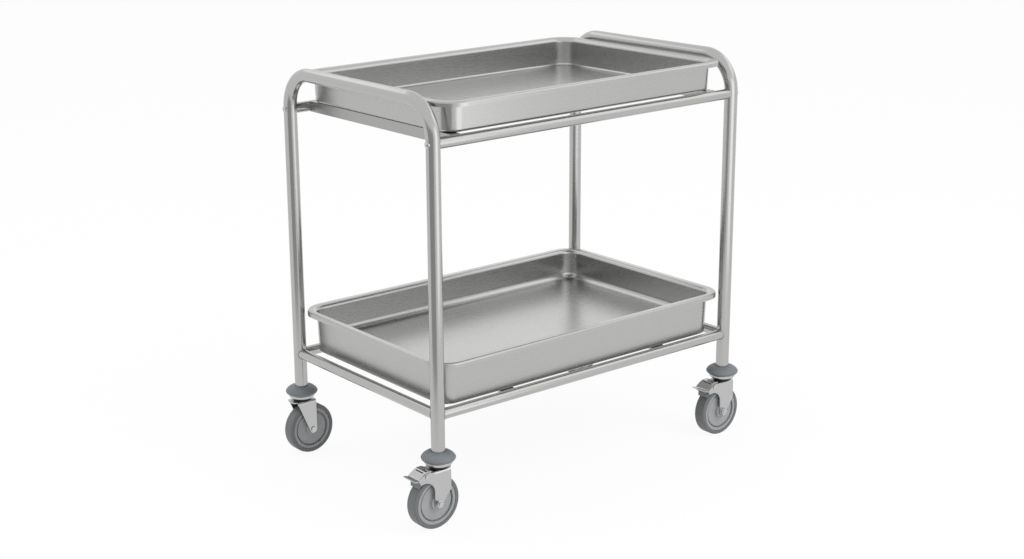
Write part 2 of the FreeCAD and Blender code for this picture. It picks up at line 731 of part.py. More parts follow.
def build():
    """The whole trolley, by node name."""
    nodes = {
        "left_end_hoop": end_hoop(-1), "right_end_hoop": end_hoop(1),
        "upper_front_rail": long_rail(-1, upper_rail_z), "upper_rear_rail": long_rail(1, upper_rail_z),
        "lower_front_rail": long_rail(-1, lower_rail_z), "lower_rear_rail": long_rail(1, lower_rail_z),
        "lower_left_crossbar": crossbar(-1), "lower_right_crossbar": crossbar(1),
        "upper_left_bearer": upper_bearer(-1), "upper_right_bearer": upper_bearer(1),
        "lower_left_bearer": lower_bearer(-1), "lower_right_bearer": lower_bearer(1),
        "rail_end_inserts": at_each_leg(rail_end_insert), "rail_bolts": at_each_leg(rail_bolt),
        "leg_end_sockets": at_each_leg(leg_end_socket),
        "upper_tray": upper_tray(), "lower_tray": lower_tray(),
    }
    # The front casters carry the brakes. Front ones trail to the left and rear ones to the right
    nodes.update(caster("front_left", -1, -1, -1, True))
    nodes.update(caster("front_right", 1, -1, -1, True))
    nodes.update(caster("rear_left", -1, 1, 1, False))
    nodes.update(caster("rear_right", 1, 1, 1, False))
    return nodes


os.makedirs("parts", exist_ok=True)
for node, solid in build().items():
    solid.exportStep("parts/" + node + ".step")
    box = solid.BoundBox
    print(f"{node}: {len(solid.Solids)} solids, valid {solid.isValid()}, {solid.Volume:.0f} mm3, "
          f"x {box.XMin:.1f} to {box.XMax:.1f}, y {box.YMin:.1f} to {box.YMax:.1f}, "
          f"z {box.ZMin:.1f} to {box.ZMax:.1f}")
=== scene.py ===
"""The looks of a two-tier stainless dressing trolley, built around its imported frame."""
import json
import logging
import math
from collections.abc import Callable
from dataclasses import dataclass, field
from enum import Enum

import bmesh
import bpy
from mathutils import Matrix, Vector

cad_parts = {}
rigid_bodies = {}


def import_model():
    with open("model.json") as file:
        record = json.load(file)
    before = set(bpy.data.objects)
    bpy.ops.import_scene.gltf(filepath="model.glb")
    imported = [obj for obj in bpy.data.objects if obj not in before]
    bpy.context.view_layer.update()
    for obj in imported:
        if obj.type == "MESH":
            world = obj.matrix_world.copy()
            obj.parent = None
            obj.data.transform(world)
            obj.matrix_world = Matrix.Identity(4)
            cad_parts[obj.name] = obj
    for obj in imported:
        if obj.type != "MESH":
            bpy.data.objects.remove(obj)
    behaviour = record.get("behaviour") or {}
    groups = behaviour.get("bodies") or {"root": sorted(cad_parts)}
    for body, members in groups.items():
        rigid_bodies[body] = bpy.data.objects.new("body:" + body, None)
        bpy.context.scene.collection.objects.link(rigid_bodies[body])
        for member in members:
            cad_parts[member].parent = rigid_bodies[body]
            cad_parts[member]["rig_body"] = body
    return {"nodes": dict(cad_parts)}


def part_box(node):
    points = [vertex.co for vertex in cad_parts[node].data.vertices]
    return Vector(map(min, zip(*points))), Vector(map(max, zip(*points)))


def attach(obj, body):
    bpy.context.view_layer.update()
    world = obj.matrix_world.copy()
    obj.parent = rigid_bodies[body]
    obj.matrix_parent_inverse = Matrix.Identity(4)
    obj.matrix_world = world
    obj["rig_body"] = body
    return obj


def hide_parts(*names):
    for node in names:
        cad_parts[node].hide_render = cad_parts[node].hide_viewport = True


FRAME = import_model()

LOG = logging.getLogger("trolley")

MM = 0.001
PICTURE_WIDTH = 1024
SENSOR_MM = 36.0

# Points closer than this many metres are one point, and faces that bend less than this are one flat face
MERGE_DISTANCE = 1e-6
FLAT_DEGREES = 0.2

WHITE = (1.0, 1.0, 1.0, 1.0)

# The hoops' own attributes, which their grain follows round the bends
ALONG_TUBE = "along_tube"
ACROSS_TUBE = "across_tube"

# What feeds a node's input
Feed = bpy.types.Node | bpy.types.NodeSocket


def linear(hex_colour: str) -> tuple[float, float, float, float]:
    """Turn an sRGB hex colour into the linear colour that a shader takes.

    Args:
        hex_colour: Six hex digits, with or without a leading mark.

    Returns:
        Linear red, green and blue, and an alpha of one.
    """
    digits = hex_colour.lstrip("#")
    channels = [int(digits[start:start + 2], 16) / 255 for start in (0, 2, 4)]
    curve = [c / 12.92 if c <= 0.04045 else ((c + 0.055) / 1.055) ** 2.4 for c in channels]
    return (curve[0], curve[1], curve[2], 1.0)


def shaded(colour: tuple[float, float, float, float], share: float) -> tuple[float, float, float, float]:
    """Make a colour lighter or darker.

    Args:
        colour: A linear colour.
        share: What its light is multiplied by.

    Returns:
        The new colour.
    """
    return (colour[0] * share, colour[1] * share, colour[2] * share, 1.0)


def add_node(tree: bpy.types.NodeTree, kind: str, settings: dict | None = None,
             links: dict[str | int, Feed] | None = None) -> bpy.types.Node:
    """Add a node, with its settings and what feeds it.

    Args:
        tree: The tree that gets the node.
        kind: The node's type name.
        settings: Values by attribute name, or by input name or number. A ramp's "stops" are its places, each
            with its colour.
        links: What feeds each input, by its name or number: an output, or a node for its first output.

    Returns:
        The new node.
    """
    node = tree.nodes.new(kind)
    for key, value in (settings or {}).items():
        if key == "stops":
            for stop, (place, colour) in zip(node.color_ramp.elements, value):
                stop.position = place
                stop.color = colour
        elif isinstance(key, str) and hasattr(node, key) and key not in node.inputs:
            setattr(node, key, value)
        else:
            node.inputs[key].default_value = value
    for key, source in (links or {}).items():
        output = source.outputs[0] if isinstance(source, bpy.types.Node) else source
        tree.links.new(output, node.inputs[key])
    return node


def new_material(name: str) -> tuple[bpy.types.Material, bpy.types.NodeTree]:
    """Make an empty node material.

    Args:
        name: The material's name.

    Returns:
        The material and its node tree.
    """
    material = bpy.data.materials.new(name)
    material.use_nodes = True
    material.node_tree.nodes.clear()
    return material, material.node_tree


def seen_plainly(tree: bpy.types.NodeTree) -> bpy.types.Node:
    """Find whether the studio is seen by the camera, in a reflection or through glass.

    Args:
        tree: The tree of the floor's material or of the dome.

    Returns:
        A node that gives one where it is, and nothing where it only lights the trolley.
    """
    path = add_node(tree, "ShaderNodeLightPath")
    direct = add_node(tree, "ShaderNodeMath", {"operation": "MAXIMUM"},
                      {0: path.outputs["Is Camera Ray"], 1: path.outputs["Is Glossy Ray"]})
    return add_node(tree, "ShaderNodeMath", {"operation": "MAXIMUM"},
                    {0: direct, 1: path.outputs["Is Transmission Ray"]})


def open_tree(name: str, inputs: dict[str, str]) -> tuple[bpy.types.NodeTree, bpy.types.NodeOutputs]:
    """Start a geometry tree with named inputs.

    Args:
        name: The tree's name.
        inputs: The socket type of each input, by the input's name.

    Returns:
        The tree and what its inputs give, by their names.
    """
    tree = bpy.data.node_groups.new(name, "GeometryNodeTree")
    for label, kind in inputs.items():
        tree.interface.new_socket(name=label, in_out="INPUT", socket_type=kind)
    tree.interface.new_socket(name="Geometry", in_out="OUTPUT", socket_type="NodeSocketGeometry")
    return tree, add_node(tree, "NodeGroupInput").outputs


def close_tree(tree: bpy.types.NodeTree, shape: bpy.types.Node, material: bpy.types.NodeSocket) -> None:
    """End a geometry tree: smooth its faces, make its copies real and give them their material.

    Args:
        tree: The tree.
        shape: What gives the finished shape.
        material: What gives the material.
    """
    smooth = add_node(tree, "GeometryNodeSetShadeSmooth", {}, {"Geometry": shape})
    real = add_node(tree, "GeometryNodeRealizeInstances", {}, {"Geometry": smooth})
    dressed = add_node(tree, "GeometryNodeSetMaterial", {}, {"Geometry": real, "Material": material})
    add_node(tree, "NodeGroupOutput", {}, {"Geometry": dressed})


def grown(name: str, tree: bpy.types.NodeTree, values: dict) -> bpy.types.Object:
    """Run a geometry tree once and keep its result as a plain mesh.

    Args:
        name: The piece's name.
        tree: The geometry tree.
        values: The value of each of its inputs, by the input's name.

    Returns:
        The piece, with no modifier on it and with its faces turned outwards.
    """
    piece = bpy.data.objects.new(name, bpy.data.meshes.new(name + "_start"))
    bpy.context.scene.collection.objects.link(piece)
    modifier = piece.modifiers.new(tree.name, "NODES")
    modifier.node_group = tree
    for item in tree.interface.items_tree:
        if item.in_out == "INPUT":
            modifier[item.identifier] = values[item.name]
    graph = bpy.context.evaluated_depsgraph_get()
    mesh = bpy.data.meshes.new_from_object(piece.evaluated_get(graph), preserve_all_data_layers=True,
                                           depsgraph=graph)
    piece.modifiers.clear()
    mesh.name = name
    piece.data = mesh
    shape = bmesh.new()
    shape.from_mesh(mesh)
    bmesh.ops.recalc_face_normals(shape, faces=shape.faces)
    shape.to_mesh(mesh)
    shape.free()
    return piece


class GrainRun(Enum):
    """What a ground or brushed grain runs along: an axis, by its number, or a bent tube's own path."""

    ALONG_X = 0
    ALONG_Y = 1
    ALONG_PATH = 3


@dataclass(frozen=True)
class SatinStainless:
    """Stainless steel, ground to a satin grain: fine parallel scratches and a soft broad gloss."""

    name: str
    colour: str
    roughness: float
    run: GrainRun
    grain_mm: float = 0.9
    grain_length_mm: float = 60.0
    bump: float = 0.02
    bump_depth_mm: float = 0.05
    rough_swing: float = 0.025
    tint_swing: float = 0.04
    tint_places: tuple[float, float] = (0.3, 0.7)
    cloud_mm: float = 1000 / 9
    cloud_roughness: float = 0.04

    def grain_place(self, tree: bpy.types.NodeTree, place: bpy.types.Node) -> bpy.types.Node:
        """Stretch the place of each point along the grain.

        Args:
            tree: The material's tree.
            place: The texture coordinates.

        Returns:
            The stretched place: one unit is a scratch's width across the grain and its length along it.
        """
        scale = [1.0 / (self.grain_mm * MM)] * 3
        where = place.outputs["Object"]
        if self.run == GrainRun.ALONG_PATH:
            scale[0] = 1.0 / (self.grain_length_mm * MM)
            along = add_node(tree, "ShaderNodeAttribute", {"attribute_name": ALONG_TUBE})
            across = add_node(tree, "ShaderNodeAttribute", {"attribute_name": ACROSS_TUBE})
            parts = add_node(tree, "ShaderNodeSeparateXYZ", {}, {0: across.outputs["Vector"]})
            where = add_node(tree, "ShaderNodeCombineXYZ", {},
                             {0: along.outputs["Fac"], 1: parts.outputs["X"], 2: parts.outputs["Y"]})
        else:
            scale[self.run.value] = 1.0 / (self.grain_length_mm * MM)
        return add_node(tree, "ShaderNodeMapping", {"Scale": scale}, {"Vector": where})

    def build(self) -> bpy.types.Material:
        """Make the material.

        Returns:
            A metal whose grain is stretched noise along its run.
        """
        material, tree = new_material(self.name)
        place = add_node(tree, "ShaderNodeTexCoord")
        grain = add_node(tree, "ShaderNodeTexNoise", {"Scale": 1.0, "Detail": 3.0, "Roughness": 0.6},
                         {"Vector": self.grain_place(tree, place)})
        clouds = add_node(tree, "ShaderNodeTexNoise", {"Scale": 1.0 / (self.cloud_mm * MM), "Detail": 2.0},
                          {"Vector": place.outputs["Object"]})
        rough_grain = add_node(tree, "ShaderNodeMapRange",
                               {"To Min": self.roughness - self.rough_swing,
                                "To Max": self.roughness + self.rough_swing}, {"Value": grain})
        rough = add_node(tree, "ShaderNodeMath", {"operation": "MULTIPLY_ADD", 1: self.cloud_roughness},
                         {0: clouds, 2: rough_grain})
        base = linear(self.colour)
        tints = zip(self.tint_places, (shaded(base, 1 - self.tint_swing), base))
        tint = add_node(tree, "ShaderNodeValToRGB", {"stops": tints}, {"Fac": grain})
        ridge = add_node(tree, "ShaderNodeBump", {"Strength": self.bump, "Distance": self.bump_depth_mm * MM},
                         {"Height": grain})
        shader = add_node(tree, "ShaderNodeBsdfPrincipled", {"Metallic": 1.0},
                          {"Base Color": tint, "Roughness": rough, "Normal": ridge})
        add_node(tree, "ShaderNodeOutputMaterial", {}, {"Surface": shader})
        return material


@dataclass(frozen=True)
class SmoothSteel:
    """Steel with no grain, plated, polished or ground: a gloss that clouds a little in places."""

    name: str
    colour: str
    roughness: float
    cloud_mm: float = 14.0
    smoother: float = 0.07
    rougher: float = 0.09

    def build(self) -> bpy.types.Material:
        """Make the material.

        Returns:
            A metal with cloudy roughness.
        """
        material, tree = new_material(self.name)
        place = add_node(tree, "ShaderNodeTexCoord")
        clouds = add_node(tree, "ShaderNodeTexNoise", {"Scale": 1.0 / (self.cloud_mm * MM), "Detail": 4.0},
                          {"Vector": place.outputs["Object"]})
        rough = add_node(tree, "ShaderNodeMapRange",
                         {"To Min": self.roughness - self.smoother, "To Max": self.roughness + self.rougher},
                         {"Value": clouds})
        shader = add_node(tree, "ShaderNodeBsdfPrincipled",
                          {"Metallic": 1.0, "Base Color": linear(self.colour)}, {"Roughness": rough})
        add_node(tree, "ShaderNodeOutputMaterial", {}, {"Surface": shader})
        return material


@dataclass(frozen=True)
class MouldedPolymer:
    """Moulded rubber or plastic: one colour, a fine pebble and a soft sheen."""

    name: str
    colour: str
    roughness: float
    pebble_mm: float = 0.8
    bump: float = 0.15
    bump_depth_mm: float = 0.05
    mottle: float = 0.06
    mottle_mm: float = 1000 / 45
    mottle_places: tuple[float, float] = (0.25, 0.75)
    rough_swing: float = 0.05

    def build(self) -> bpy.types.Material:
        """Make the material.

        Returns:
            A dielectric with a fine pebble and slight mottling.
        """
        material, tree = new_material(self.name)
        place = add_node(tree, "ShaderNodeTexCoord")
        pebble = add_node(tree, "ShaderNodeTexNoise", {"Scale": 1.0 / (self.pebble_mm * MM), "Detail": 2.0},
                          {"Vector": place.outputs["Object"]})
        mottle = add_node(tree, "ShaderNodeTexNoise", {"Scale": 1.0 / (self.mottle_mm * MM), "Detail": 3.0},
                          {"Vector": place.outputs["Object"]})
        base = linear(self.colour)
        tints = zip(self.mottle_places, (shaded(base, 1 - self.mottle), shaded(base, 1 + self.mottle)))
        tint = add_node(tree, "ShaderNodeValToRGB", {"stops": tints}, {"Fac": mottle})
        rough = add_node(tree, "ShaderNodeMapRange",
                         {"To Min": self.roughness - self.rough_swing,
                          "To Max": self.roughness + self.rough_swing}, {"Value": mottle})
        ridge = add_node(tree, "ShaderNodeBump", {"Strength": self.bump, "Distance": self.bump_depth_mm * MM},
                         {"Height": pebble})
        shader = add_node(tree, "ShaderNodeBsdfPrincipled", {},
                          {"Base Color": tint, "Roughness": rough, "Normal": ridge})
        add_node(tree, "ShaderNodeOutputMaterial", {}, {"Surface": shader})
        return material


@dataclass
class Finishes:
    """Every finish on the trolley, each made once."""

    # Stainless tube, ground lengthwise: satin, with highlights that run along the tube and round its bends
    tube_bent: SatinStainless = SatinStainless(
        "stainless_tube_satin_along_its_bends", "#b5b5b4", 0.2, GrainRun.ALONG_PATH, grain_mm=0.8)
    tube_along: SatinStainless = SatinStainless(
        "stainless_tube_satin_along", "#b5b5b4", 0.2, GrainRun.ALONG_X, grain_mm=0.8)
    tube_across: SatinStainless = SatinStainless(
        "stainless_tube_satin_across", "#b5b5b4", 0.2, GrainRun.ALONG_Y, grain_mm=0.8)
    # Stainless sheet, pressed and then brushed lengthwise: a wider, softer gloss with fine streaks
    sheet: SatinStainless = SatinStainless(
        "stainless_sheet_brushed", "#b6b6b5", 0.25, GrainRun.ALONG_X, grain_mm=1.0, grain_length_mm=90.0)
    # Stainless angle and strap under the trays: darker and duller than the tubes
    bearer: SatinStainless = SatinStainless("stainless_bearer_satin", "#aaaaa9", 0.3, GrainRun.ALONG_Y)
    # Weld metal, ground back: no grain, and duller than the tube beside it
    weld: SmoothSteel = SmoothSteel("ground_stainless_weld", "#a7a7a6", 0.34, cloud_mm=3.0)
    # Bright zinc plate on pressed steel: clear pale reflections, a little cloudy
    zinc: SmoothSteel = SmoothSteel("bright_zinc_plate", "#bcbcbc", 0.18)
    # Polished bolt steel: the sharpest highlights on the trolley
    bolt: SmoothSteel = SmoothSteel("polished_bolt_steel", "#c2c3c4", 0.14)
    # Moulded rubber: slate grey and matt, with a faint sheen on its dome
    bumper: MouldedPolymer = MouldedPolymer("slate_grey_rubber", "#71767a", 0.5)
    # Thermoplastic rubber tread: the darkest grey on the wheel, and matt
    tread: MouldedPolymer = MouldedPolymer("grey_thermoplastic_rubber_tread", "#696c6d", 0.5)
    # Moulded polypropylene: paler than the tread and a little glossier
    wheel: MouldedPolymer = MouldedPolymer("grey_polypropylene_wheel", "#9c9ea0", 0.38, mottle=0.03)
    # Black acetal: a dark line between two plated pieces
    acetal: MouldedPolymer = MouldedPolymer("black_acetal_ring", "#2b2d2f", 0.45)
    made: dict[str, bpy.types.Material] = field(default_factory=dict)

    def get(self, finish: SatinStainless | SmoothSteel | MouldedPolymer) -> bpy.types.Material:
        """Make a finish's material the first time it is asked for.

        Args:
            finish: The finish.

        Returns:
            Its material.
        """
        if finish.name not in self.made:
            self.made[finish.name] = finish.build()
        return self.made[finish.name]


@dataclass
class SolidSkin:
    """Smooth-shaded skins that stand for rigid solids, with their edges eased."""

    finishes: Finishes
    sharp_degrees: float = 32.0
    edge_segments: int = 2

    def cover(self, node: str, finish: SatinStainless | SmoothSteel | MouldedPolymer, slot: str,
              edge_mm: float = 0.0, reshape: Callable[[bmesh.types.BMesh], None] | None = None) -> None:
        """Stand a joined, smooth-shaded copy of a solid's mesh in its place, in its finish.

        Args:
            node: The solid's node.
            finish: What it is made of.
            slot: The record's material slot. It is not used.
            edge_mm: How far its sharp edges are eased.
            reshape: What moves the copy's points, if anything does.
        """
        source = FRAME["nodes"][node]
        mesh = source.data.copy()
        mesh.name = node + "_skin"
        shape = bmesh.new()
        shape.from_mesh(mesh)
        bmesh.ops.remove_doubles(shape, verts=shape.verts, dist=MERGE_DISTANCE)
        if reshape:
            reshape(shape)
        bmesh.ops.dissolve_limit(shape, angle_limit=math.radians(FLAT_DEGREES), verts=shape.verts,
                                 edges=shape.edges)
        shape.to_mesh(mesh)
        shape.free()
        mesh.materials.clear()
        mesh.materials.append(self.finishes.get(finish))
        mesh.shade_smooth()
        mesh.set_sharp_from_angle(angle=math.radians(self.sharp_degrees))
        piece = bpy.data.objects.new(node + "_skin", mesh)
        bpy.context.scene.collection.objects.link(piece)
        if edge_mm > 0:
            bevel = piece.modifiers.new("eased_edges", "BEVEL")
            bevel.width = edge_mm * MM
            bevel.segments = self.edge_segments
            bevel.limit_method = "ANGLE"
            bevel.angle_limit = math.radians(self.sharp_degrees)
            bevel.use_clamp_overlap = True
        level = piece.modifiers.new("flat_faces_stay_flat", "WEIGHTED_NORMAL")
        level.keep_sharp = True
        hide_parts(node)
        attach(piece, source["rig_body"])
        LOG.info("%s covered", node)


@dataclass
class BentHoop:
    """A hoop's tube, swept along two legs, two bends and the top bar."""

    bend_mm: float = 67.0
    bend_steps: int = 28
    sides: int = 72

    def tree(self) -> bpy.types.NodeTree:
        """Draw the path through four corners, round its bends and sweep the tube along it.

        Returns:
            The geometry tree, which also marks the way along and across the tube for the grain.
        """
        tree, given = open_tree("bent_hoop_tube", {
            "Middle X": "NodeSocketFloat", "Half Depth": "NodeSocketFloat", "Foot": "NodeSocketFloat",
            "Top": "NodeSocketFloat", "Bend Radius": "NodeSocketFloat", "Bend Steps": "NodeSocketInt",
            "Tube Radius": "NodeSocketFloat", "Sides": "NodeSocketInt", "Material": "NodeSocketMaterial"})
        # Corners 0 and 3 are the feet, 1 and 2 the top corners, and 2 and 3 are at the rear
        index = add_node(tree, "GeometryNodeInputIndex")
        rear = add_node(tree, "ShaderNodeMath", {"operation": "GREATER_THAN", 1: 1.5}, {0: index})
        side = add_node(tree, "ShaderNodeMath", {"operation": "MULTIPLY_ADD", 1: 2.0, 2: -1.0}, {0: rear})
        from_middle = add_node(tree, "ShaderNodeMath", {"operation": "SUBTRACT", 1: 1.5}, {0: index})
        from_middle = add_node(tree, "ShaderNodeMath", {"operation": "ABSOLUTE"}, {0: from_middle})
        raised = add_node(tree, "ShaderNodeMath", {"operation": "LESS_THAN", 1: 1.0}, {0: from_middle})
        rise = add_node(tree, "ShaderNodeMath", {"operation": "SUBTRACT"},
                        {0: given["Top"], 1: given["Foot"]})
        depth = add_node(tree, "ShaderNodeMath", {"operation": "MULTIPLY"},
                         {0: side, 1: given["Half Depth"]})
        height = add_node(tree, "ShaderNodeMath", {"operation": "MULTIPLY_ADD"},
                          {0: raised, 1: rise, 2: given["Foot"]})
        corner = add_node(tree, "ShaderNodeCombineXYZ", {}, {"X": given["Middle X"], "Y": depth, "Z": height})
        line = add_node(tree, "GeometryNodeMeshLine", {"Count": 4})
        placed = add_node(tree, "GeometryNodeSetPosition", {}, {"Geometry": line, "Position": corner})
        path = add_node(tree, "GeometryNodeMeshToCurve", {}, {"Mesh": placed})
        bends = add_node(tree, "GeometryNodeFilletCurve", {"mode": "POLY"},
                         {"Curve": path, "Radius": given["Bend Radius"], "Count": given["Bend Steps"]})
        way = add_node(tree, "GeometryNodeSplineParameter")
        along = add_node(tree, "GeometryNodeStoreNamedAttribute",
                         {"data_type": "FLOAT", "domain": "POINT", "Name": ALONG_TUBE},
                         {"Geometry": bends, "Value": way.outputs["Length"]})
        ring = add_node(tree, "GeometryNodeCurvePrimitiveCircle", {},
                        {"Resolution": given["Sides"], "Radius": given["Tube Radius"]})
        section = add_node(tree, "GeometryNodeInputPosition")
        across = add_node(tree, "GeometryNodeStoreNamedAttribute",
                          {"data_type": "FLOAT_VECTOR", "domain": "POINT", "Name": ACROSS_TUBE},
                          {"Geometry": ring, "Value": section})
        tube = add_node(tree, "GeometryNodeCurveToMesh", {"Fill Caps": True},
                        {"Curve": along, "Profile Curve": across})
        close_tree(tree, tube, given["Material"])
        return tree

    def build(self, skin: SolidSkin) -> None:
        """Sweep both hoops, each to the size and place of its solid.

        Args:
            skin: What gives the finishes.
        """
        tree = self.tree()
        material = skin.finishes.get(skin.finishes.tube_bent)
        for node in ("left_end_hoop", "right_end_hoop"):
            low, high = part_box(node)
            radius = (high[0] - low[0]) / 2
            piece = grown(node + "_tube", tree, {
                "Middle X": (low[0] + high[0]) / 2, "Half Depth": high[1] - radius, "Foot": low[2],
                "Top": high[2] - radius, "Bend Radius": self.bend_mm * MM, "Bend Steps": self.bend_steps,
                "Tube Radius": radius, "Sides": self.sides, "Material": material})
            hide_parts(node)
            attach(piece, "frame")
            LOG.info("%s swept", node)


@dataclass
class WeldFillets:
    """The ground welds round the eight joints where the lower rails and crossbars meet the legs."""

    bead_mm: float = 1.3
    path_steps: int = 72
    bead_sides: int = 12

    def bead(self, tree: bpy.types.NodeTree, given: bpy.types.NodeOutputs) -> bpy.types.Node:
        """Draw one bead along the line where a rail along X meets a leg.

        Args:
            tree: The geometry tree.
            given: The tree's inputs.

        Returns:
            The node that gives the bead.
        """
        ring = add_node(tree, "GeometryNodeCurvePrimitiveCircle", {},
                        {"Resolution": given["Path Steps"], "Radius": given["Rail Radius"]})
        place = add_node(tree, "GeometryNodeInputPosition")
        where = add_node(tree, "ShaderNodeSeparateXYZ", {}, {0: place})
        leg_squared = add_node(tree, "ShaderNodeMath", {"operation": "POWER", 1: 2.0},
                               {0: given["Leg Radius"]})
        sideways = add_node(tree, "ShaderNodeMath", {"operation": "ABSOLUTE"}, {0: where.outputs["X"]})
        side_squared = add_node(tree, "ShaderNodeMath", {"operation": "POWER", 1: 2.0}, {0: sideways})
        reach_squared = add_node(tree, "ShaderNodeMath", {"operation": "SUBTRACT"},
                                 {0: leg_squared, 1: side_squared})
        reach = add_node(tree, "ShaderNodeMath", {"operation": "SQRT"}, {0: reach_squared})
        saddle = add_node(tree, "ShaderNodeCombineXYZ", {},
                          {"X": reach, "Y": where.outputs["X"], "Z": where.outputs["Y"]})
        path = add_node(tree, "GeometryNodeSetPosition", {}, {"Geometry": ring, "Position": saddle})
        section = add_node(tree, "GeometryNodeCurvePrimitiveCircle", {},
                           {"Resolution": given["Bead Sides"], "Radius": given["Bead Radius"]})
        return add_node(tree, "GeometryNodeCurveToMesh", {}, {"Curve": path, "Profile Curve": section})

    def tree(self) -> bpy.types.NodeTree:
        """Repeat the bead at each corner of the lower frame, once on its rail and once on its crossbar.

        Returns:
            The geometry tree.
        """
        tree, given = open_tree("weld_fillets", {
            "Half Width": "NodeSocketFloat", "Half Depth": "NodeSocketFloat", "Height": "NodeSocketFloat",
            "Leg Radius": "NodeSocketFloat", "Rail Radius": "NodeSocketFloat",
            "Bead Radius": "NodeSocketFloat", "Path Steps": "NodeSocketInt", "Bead Sides": "NodeSocketInt",
            "Material": "NodeSocketMaterial"})
        # Joints 0 to 3 are on the rails and 4 to 7 on the crossbars, left and right in turn, front pair first
        index = add_node(tree, "GeometryNodeInputIndex")
        right = add_node(tree, "ShaderNodeMath", {"operation": "MODULO", 1: 2.0}, {0: index})
        pair = add_node(tree, "ShaderNodeMath", {"operation": "DIVIDE", 1: 2.0}, {0: index})
        pair = add_node(tree, "ShaderNodeMath", {"operation": "FLOOR"}, {0: pair})
        rear = add_node(tree, "ShaderNodeMath", {"operation": "MODULO", 1: 2.0}, {0: pair})
        on_crossbar = add_node(tree, "ShaderNodeMath", {"operation": "GREATER_THAN", 1: 3.5}, {0: index})
        side_x = add_node(tree, "ShaderNodeMath", {"operation": "MULTIPLY_ADD", 1: 2.0, 2: -1.0}, {0: right})
        side_y = add_node(tree, "ShaderNodeMath", {"operation": "MULTIPLY_ADD", 1: 2.0, 2: -1.0}, {0: rear})
        place_x = add_node(tree, "ShaderNodeMath", {"operation": "MULTIPLY"},
                           {0: side_x, 1: given["Half Width"]})
        place_y = add_node(tree, "ShaderNodeMath", {"operation": "MULTIPLY"},
                           {0: side_y, 1: given["Half Depth"]})
        joint = add_node(tree, "ShaderNodeCombineXYZ", {}, {"X": place_x, "Y": place_y, "Z": given["Height"]})
        rail_turn = add_node(tree, "ShaderNodeMath", {"operation": "MULTIPLY", 1: math.pi}, {0: right})
        bar_turn = add_node(tree, "ShaderNodeMath", {"operation": "MULTIPLY", 1: -math.pi / 2}, {0: side_y})
        change = add_node(tree, "ShaderNodeMath", {"operation": "SUBTRACT"}, {0: bar_turn, 1: rail_turn})
        about_z = add_node(tree, "ShaderNodeMath", {"operation": "MULTIPLY_ADD"},
                           {0: on_crossbar, 1: change, 2: rail_turn})
        turn = add_node(tree, "ShaderNodeCombineXYZ", {}, {"Z": about_z})
        line = add_node(tree, "GeometryNodeMeshLine", {"Count": 8})
        joints = add_node(tree, "GeometryNodeSetPosition", {}, {"Geometry": line, "Position": joint})
        beads = add_node(tree, "GeometryNodeInstanceOnPoints", {},
                         {"Points": joints, "Instance": self.bead(tree, given), "Rotation": turn})
        close_tree(tree, beads, given["Material"])
        return tree

    def build(self, skin: SolidSkin) -> None:
        """Lay the beads at the places that the solids give.

        Args:
            skin: What gives the finishes.
        """
        hoop_low, hoop_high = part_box("right_end_hoop")
        rail_low, rail_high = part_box("lower_rear_rail")
        leg_radius = (hoop_high[0] - hoop_low[0]) / 2
        piece = grown("lower_frame_welds", self.tree(), {
            "Half Width": (hoop_low[0] + hoop_high[0]) / 2, "Half Depth": hoop_high[1] - leg_radius,
            "Height": (rail_low[2] + rail_high[2]) / 2, "Leg Radius": leg_radius,
            "Rail Radius": (rail_high[2] - rail_low[2]) / 2, "Bead Radius": self.bead_mm * MM,
            "Path Steps": self.path_steps, "Bead Sides": self.bead_sides,
            "Material": skin.finishes.get(skin.finishes.weld)})
        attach(piece, "frame")
        LOG.info("lower frame welds laid")


@dataclass
class TubeFrame:
    """The two hoops, the rails, the crossbars and the bearers between them."""

    skin: SolidSkin
    hoop: BentHoop = field(default_factory=BentHoop)
    welds: WeldFillets = field(default_factory=WeldFillets)
    bearer_edge_mm: float = 0.4
    bolt_edge_mm: float = 0.3

    def dress(self) -> None:
        """Sweep the hoops, lay the welds and cover every other tube, bearer and fastener."""
        finishes = self.skin.finishes
        cover = self.skin.cover
        self.hoop.build(self.skin)
        self.welds.build(self.skin)
        for node in ("upper_front_rail", "upper_rear_rail", "lower_front_rail", "lower_rear_rail"):
            cover(node, finishes.tube_along, "stainless_tube")
        for node in ("lower_left_crossbar", "lower_right_crossbar"):
            cover(node, finishes.tube_across, "stainless_tube")
        for node in ("upper_left_bearer", "upper_right_bearer", "lower_left_bearer", "lower_right_bearer"):
            cover(node, finishes.bearer, "stainless_bearer", self.bearer_edge_mm)
        cover("rail_bolts", finishes.bolt, "bolt_steel", self.bolt_edge_mm)
        cover("rail_end_inserts", finishes.zinc, "plated_steel")
        cover("leg_end_sockets", finishes.acetal, "bearing_plastic")


